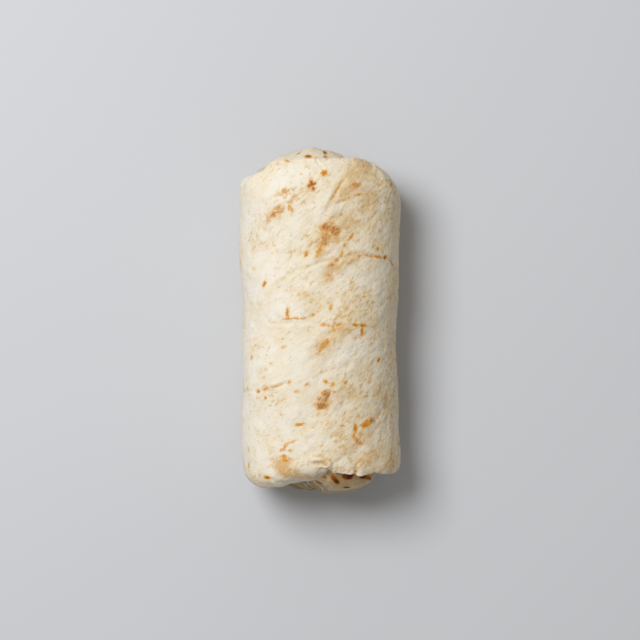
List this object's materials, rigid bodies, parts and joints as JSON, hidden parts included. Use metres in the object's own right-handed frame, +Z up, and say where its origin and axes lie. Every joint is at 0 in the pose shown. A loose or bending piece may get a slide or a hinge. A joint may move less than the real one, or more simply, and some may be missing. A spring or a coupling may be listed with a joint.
{
  "type": "breakfast wrap",
  "caption": "Closed wheat tortilla wrap, rolled round its filling and tucked in at both ends, lying on its seam side.",
  "frame": {"origin": "under the middle of the wrap's box, on the plane it lies on", "axes": "+Y along the roll towards the end with the round shoulder, +X to the right with +Y ahead, +Z up"},
  "size_m": [0.0834, 0.1778, 0.0627],
  "materials": {
    "toasted_tortilla": "soft matt wheat tortilla, cream with tan and brown toast marks"
  },
  "bodies": {
    "root": {"tortilla_wrap": "toasted_tortilla"}
  },
  "joints": []
}
